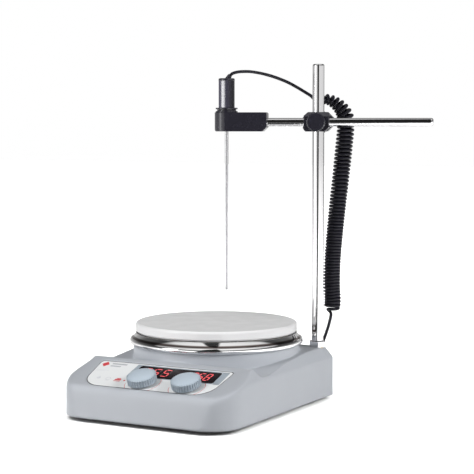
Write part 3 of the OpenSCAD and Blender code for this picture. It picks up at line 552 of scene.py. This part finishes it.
skin = curve2([(67.35, 60.6), (67.9, 59.7), (69.0, 58.2), (70.1, 57.0), (71.1, 56.3), (72.0, 55.5),
               (72.55, 54.5), (72.6, 53.5), (72.2, 52.4), (71.4, 51.6), (70.2, 51.2)])
inside = curve2([(69.9, 51.3), (69.6, 52.6), (70.3, 54.4), (70.1, 55.4), (68.8, 57.2), (67.4, 58.9),
                 (66.6, 60.3)])
ring = lathe("drip_ring_rolled", skin + inside, bench(0, 30, 0))
finish_piece(ring, ring_steel, "housing", "polished_steel", "drip_ring")

# ---------- the panel's print ----------
SHEET_TOP = -0.6


def flat(name, outlines, m, lift=0.0, thick=0.05, slot="panel_print"):
    """Thin printed shapes on the sheet, as one piece; an outline is in millimetres on the panel."""
    verts, faces = [], []
    for outline in outlines:
        n, o = len(outline), len(verts)
        verts += [on_panel(x, y, SHEET_TOP + lift) for x, y in outline]
        verts += [on_panel(x, y, SHEET_TOP + lift + thick) for x, y in outline]
        faces += [tuple(o + k for k in range(n, 2 * n)), tuple(o + k for k in reversed(range(n)))]
        faces += [(o + k, o + (k + 1) % n, o + n + (k + 1) % n, o + n + k) for k in range(n)]
    return finish_piece(add_mesh(name, verts, faces, False), m, "housing", slot)


def round_rect(x0, y0, x1, y1, r, steps=5):
    out = []
    corners = ((x1 - r, y1 - r), (x0 + r, y1 - r), (x0 + r, y0 + r), (x1 - r, y0 + r))
    for (cx, cy), a0 in zip(corners, (0, 90, 180, 270)):
        for k in range(steps + 1):
            a = math.radians(a0 + 90 * k / steps)
            out.append((cx + r * math.cos(a), cy + r * math.sin(a)))
    return out


def ring_parts(cx, cy, r, w, a0, a1, steps=40):
    """A thin arc as short four-sided pieces."""
    out = []
    for k in range(steps):
        a, b = (math.radians(a0 + (a1 - a0) * j / steps) for j in (k, k + 1))
        out.append([(cx + q * math.cos(t), cy + q * math.sin(t))
                    for q, t in ((r - w, a), (r + w, a), (r + w, b), (r - w, b))])
    return out


def bar(x0, y0, x1, y1, w):
    """A straight line, w millimetres to each side."""
    d = Vector((x1 - x0, y1 - y0)).normalized() * w
    return [(x0 - d.y, y0 + d.x), (x0 + d.y, y0 - d.x), (x1 + d.y, y1 - d.x), (x1 - d.y, y1 + d.x)]


WINDOW_X, WINDOW_Y = 15.0, 31.5
KNOB_Y = 13.5
field = [round_rect(WINDOW_X + x0, y0, WINDOW_X + x1, y1, r)
         for x0, y0, x1, y1, r in ((-41, 22, -37.2, 41, 0.6), (37.2, 22, 43, 41, 0.6),
                                   (-41, 40.2, 43, 41.4, 0.5), (-41, 21.8, 43, 22.8, 0.5))]
flat("printed_field", field, print_grey)
for label, knob_x in (("temperature", -5.5), ("speed", 34.5)):
    arcs = [ring_parts(knob_x, KNOB_Y, 14.6, 0.16, a0, a1) for a0, a1 in ((-60, 52), (190, 238))]
    flat(label + "_arcs", arcs[0] + arcs[1], ink_red)
    flat(label + "_ticks", [bar(knob_x + 15.2 * math.cos(t), KNOB_Y + 15.2 * math.sin(t),
                                knob_x + 16.4 * math.cos(t), KNOB_Y + 16.4 * math.sin(t), 0.14)
                            for t in (math.radians(a) for a in (-60, -32, -4, 24, 52))], ink_grey)
flat("generic_mark", [round_rect(-49.5, 38.2, -35.5, 40.2, 0.6), round_rect(-49.5, 34.6, -39.5, 36.4, 0.6)],
     ink_grey)
flat("mark_diamond", [[(-55, 33.6), (-51.6, 37.6), (-55, 41.6), (-58.4, 37.6)]], ink_red)
flat("thin_lines", [bar(-58, 28, -46, 28, 0.22), bar(-58, 26.4, -49, 26.4, 0.18)], ink_pale)
drop = [(-48 + 1.7 * math.sin(t), 15.4 + 1.7 * math.cos(t) + (1.6 if abs(t) < 0.2 else 0))
        for t in np.linspace(-math.pi, math.pi, 24, endpoint=False)]
flat("pale_icons", [drop, *ring_parts(-39, 15.4, 2.0, 0.3, 0, 360, 24), bar(-40.6, 12.4, -37.4, 12.4, 0.25)],
     ink_pale)
flat("heat_icon", [round_rect(-32.6, 14.0, -26.6, 15.9, 0.7), round_rect(-31.6, 16.3, -27.6, 17.3, 0.4),
                   round_rect(-32.6, 12.4, -26.6, 13.2, 0.3)], ink_red)
dot = [(-23.4 + 0.9 * math.cos(t), 14.6 + 0.9 * math.sin(t))
       for t in np.linspace(0, 2 * math.pi, 20, endpoint=False)]
flat("heat_dot", [dot], ink_red)


def rounded_outline(corners, radii, steps=8):
    """A polygon's outline with each corner rounded to its radius."""
    out = []
    n = len(corners)
    for k, r in enumerate(radii):
        p = Vector(corners[k])
        a, b = (Vector(corners[(k + j) % n]) - p for j in (-1, 1))
        a.normalize()
        b.normalize()
        half = a.angle(b) / 2
        centre = p + (a + b).normalized() * (r / math.sin(half))
        start, end = p + a * (r / math.tan(half)) - centre, p + b * (r / math.tan(half)) - centre
        sweep = start.angle_signed(end) * -1
        for j in range(steps + 1):
            t = math.atan2(start.y, start.x) + sweep * j / steps
            out.append((centre.x + r * math.cos(t), centre.y + r * math.sin(t)))
    return out


def panel_edge(grow):
    """The outline of the panel's sheet, grown by some millimetres."""
    w, h = RECESS_X + grow, RECESS_Y + grow
    pts = rounded_outline([(-w + 4, -h), (w - 4, -h), (w, h), (-w, h)], [17, 17, 3, 3])
    return [(x, y + RECESS_MID) for x, y in pts]


def thin_frame(name, inner, outer, low, high):
    """A flat band between two outlines of as many points, from one height on the panel to another."""
    n = len(inner)
    verts = [on_panel(x, y, h) for h in (low, high) for x, y in (*inner, *outer)]
    faces = []
    for k in range(n):
        j = (k + 1) % n
        faces += [(k, j, n + j, n + k), (2 * n + k, 3 * n + k, 3 * n + j, 2 * n + j),
                  (n + k, n + j, 3 * n + j, 3 * n + k), (k, 2 * n + k, 2 * n + j, j)]
    return add_mesh(name, verts, faces, False)


# painted shadow: a thin black strip round the panel's sheet stands in for the shadow of the recess wall
recess_shadow_strip = thin_frame("panel_recess_shadow", panel_edge(-0.35), panel_edge(0.12), -0.58, -0.50)
finish_piece(recess_shadow_strip, rubber, "housing", "panel_print")

# ---------- the displays' digits ----------
SEGMENTS = {"2": "abged", "3": "abgcd", "5": "afgcd", "6": "afgedc", "8": "abcdefg"}


def segment(x0, y0, x1, y1, w):
    """One segment's outline, pointed at both ends."""
    d = Vector((x1 - x0, y1 - y0)).normalized()
    s = Vector((-d.y, d.x))
    a, b = Vector((x0, y0)) + d * 0.25, Vector((x1, y1)) - d * 0.25
    pts = [a, a + (d + s) * w, b + (s - d) * w, b, b - (d + s) * w, a + (d - s) * w]
    return [(p.x, p.y) for p in pts]


def digit(cx, cy, char, lit, w):
    """The lit or the unlit segments of one digit, 10 mm high and slightly slanted."""
    h = 5.0
    ends = {"a": (-w, h, w, h), "b": (w, h, w, 0), "c": (w, 0, w, -h), "d": (-w, -h, w, -h),
            "e": (-w, 0, -w, -h), "f": (-w, h, -w, 0), "g": (-w, 0, w, 0)}
    out = []
    for key, (x0, y0, x1, y1) in ends.items():
        if (key in SEGMENTS[char]) == lit:
            out.append([(cx + x + 0.12 * y, cy + y) for x, y in segment(x0, y0, x1, y1, 0.55)])
    return out


for label, text, cx, pitch, w in (("left", "365", -3.6, 9.2, 2.7), ("right", "268", 37.0, 6.5, 2.0)):
    lit, unlit = [], []
    for k, char in enumerate(text):
        lit += digit(cx + (k - 1) * pitch, WINDOW_Y, char, True, w)
        unlit += digit(cx + (k - 1) * pitch, WINDOW_Y, char, False, w)
    flat(label + "_digits", lit, digit_red, 0.21, 0.04, "display_block")
    flat(label + "_unlit", unlit, digit_off, 0.205, 0.03, "display_block")

# ---------- floor, light and background ----------
VIEW_TURN = math.radians(28.9)


def bearing(nt, vector):
    """0 to 1 once round from straight behind the studio, 0.5 towards the front."""
    split = nt.nodes.new("ShaderNodeSeparateXYZ")
    link(nt, vector, split.inputs[0])
    c, s = math.cos(VIEW_TURN), math.sin(VIEW_TURN)
    right = math_node(nt, "ADD", math_node(nt, "MULTIPLY", split.outputs[0], c),
                      math_node(nt, "MULTIPLY", split.outputs[1], s))
    front = math_node(nt, "SUBTRACT", math_node(nt, "MULTIPLY", split.outputs[0], s),
                      math_node(nt, "MULTIPLY", split.outputs[1], c))
    angle = math_node(nt, "ARCTAN2", right, front)
    return math_node(nt, "ADD", math_node(nt, "MULTIPLY", angle, 0.5 / math.pi), 0.5), split.outputs[2]


# what polished metal sees round the studio: bright cloths, a dark gap in front, dimmer sides
AROUND = [(0.0, 0.50), (0.10, 0.55), (0.23, 0.62), (0.29, 1.0), (0.425, 1.0), (0.437, 0.04), (0.514, 0.04),
          (0.526, 1.0), (0.74, 0.95), (0.80, 0.75), (0.86, 0.60), (1.0, 0.50)]

FLOOR_HALF, FLOOR_Z = 6.0, -0.069 - 0.0001      # 0.1 mm under the feet
FLOOR_BOUNCE = 0.07     # the part of its light that the floor gives back to the object
corners = [(x * FLOOR_HALF, y * FLOOR_HALF, FLOOR_Z) for x, y in ((-1, -1), (1, -1), (1, 1), (-1, 1))]
floor = add_mesh("floor", corners, [(0, 1, 2, 3)], False)
floor_look = material("floor", (0.90, 0.90, 0.905), 0.6, vary=0.01, size=0.4, grain=0.002, bump=0.01,
                      specular=0.1)
nt = floor_look.node_tree
bsdf = nt.nodes["Principled BSDF"]
paths = nt.nodes.new("ShaderNodeLightPath")
place = nt.nodes.new("ShaderNodeTexCoord")
turn, _ = bearing(nt, place.outputs["Object"])
camera_ray, glossy_ray = paths.outputs["Is Camera Ray"], paths.outputs["Is Glossy Ray"]
around = ramp(nt, turn, AROUND, False)
mirrored = math_node(nt, "ADD", math_node(nt, "MULTIPLY", around, glossy_ray),
                     math_node(nt, "SUBTRACT", 1.0, glossy_ray))
direct = math_node(nt, "ADD", camera_ray, glossy_ray)
share = math_node(nt, "ADD", math_node(nt, "MULTIPLY", direct, 1 - FLOOR_BOUNCE), FLOOR_BOUNCE)
bounce = math_node(nt, "MULTIPLY", mirrored, share)
reach = nt.nodes.new("ShaderNodeVectorMath")
reach.operation = "LENGTH"
link(nt, place.outputs["Object"], reach.inputs[0])
far = map_range(nt, reach.outputs["Value"], (0.35, 1.1), smooth=True)
fade = math_node(nt, "MULTIPLY", far, math_node(nt, "MULTIPLY", direct, mirrored))
link(nt, fade, bsdf.inputs["Emission Strength"])
value(bsdf, "Emission Color", (1, 1, 1, 1))
dim = nt.nodes.new("ShaderNodeMix")
dim.data_type = "RGBA"
dim.blend_type = "MULTIPLY"
value(dim, "Factor", 1.0)
link(nt, bsdf.inputs["Base Color"].links[0].from_socket, dim.inputs[6])
link(nt, bounce, dim.inputs[7])
link(nt, dim.outputs[2], bsdf.inputs["Base Color"])
floor.data.materials.append(floor_look)


def area(name, place, target, width, height, power):
    """A soft lamp at a place, turned to a target, in metres and watts."""
    data = bpy.data.lights.new(name, "AREA")
    data.shape = "RECTANGLE"
    data.size, data.size_y, data.energy = width, height, power
    ob = bpy.data.objects.new(name, data)
    ob.location = place
    ob.rotation_euler = (Vector(target) - Vector(place)).to_track_quat("-Z", "Y").to_euler()
    scene.collection.objects.link(ob)
    return ob


def light_only(lamp, receiver):
    """Makes a lamp light one object and nothing else."""
    group = bpy.data.collections.new(receiver.name + "_only")
    group.objects.link(receiver)
    lamp.light_linking.receiver_collection = group


area("key", (-0.80, -1.15, 0.42), (0, 0, 0.10), 0.45, 1.1, 5.5)
area("front", (-0.55, -0.95, 1.15), (0, 0, -0.03), 0.7, 0.5, 13.0).visible_glossy = False
area("side", (1.55, -0.10, 0.80), (0.02, 0, 0.0), 0.5, 0.5, 19.0).visible_glossy = False
area("top", (0.1, 0.25, 1.5), (0, 0, 0), 0.9, 0.9, 0.3).visible_glossy = False
light_only(area("strip", (-0.60, -1.25, 0.35), (0, 0, 0.19), 1.3, 1.0, 160), nodes["probe_handle"])
wash = area("floor_wash", (0.0, 0.0, 2.4), (0, 0, 0), 3.0, 3.0, 88)
wash.visible_glossy = False
light_only(wash, floor)

world = bpy.data.worlds.new("studio")
scene.world = world
world.use_nodes = True
wt = world.node_tree
ground = wt.nodes["Background"]
coords = wt.nodes.new("ShaderNodeTexCoord")
turn, height = bearing(wt, coords.outputs["Generated"])
rise = ramp(wt, height, [(0.0, 1.0), (0.12, 0.95), (0.30, 0.50), (0.55, 0.14), (0.80, 0.09), (1.0, 0.12)])
sky = math_node(wt, "MULTIPLY", rise, 0.85)      # what lights the object
mirror_sky = ramp(wt, height, [(0.0, 1.0), (0.10, 1.0), (0.22, 0.55), (0.45, 0.16), (0.68, 0.07),
                               (0.75, 0.80), (1.0, 1.0)])
paths = wt.nodes.new("ShaderNodeLightPath")
shine = math_node(wt, "MULTIPLY", mirror_sky, ramp(wt, turn, AROUND, False))
glossy = paths.outputs["Is Glossy Ray"]
plain = math_node(wt, "ADD", math_node(wt, "MULTIPLY", shine, glossy),
                  math_node(wt, "MULTIPLY", sky, math_node(wt, "SUBTRACT", 1.0, glossy)))
# the camera sees plain white
seen = math_node(wt, "MAXIMUM", plain, paths.outputs["Is Camera Ray"])
link(wt, seen, ground.inputs["Strength"])
value(ground, "Color", (1.0, 1.0, 1.0, 1))
scene.view_settings.view_transform = "Standard"
scene.view_settings.look = "None"
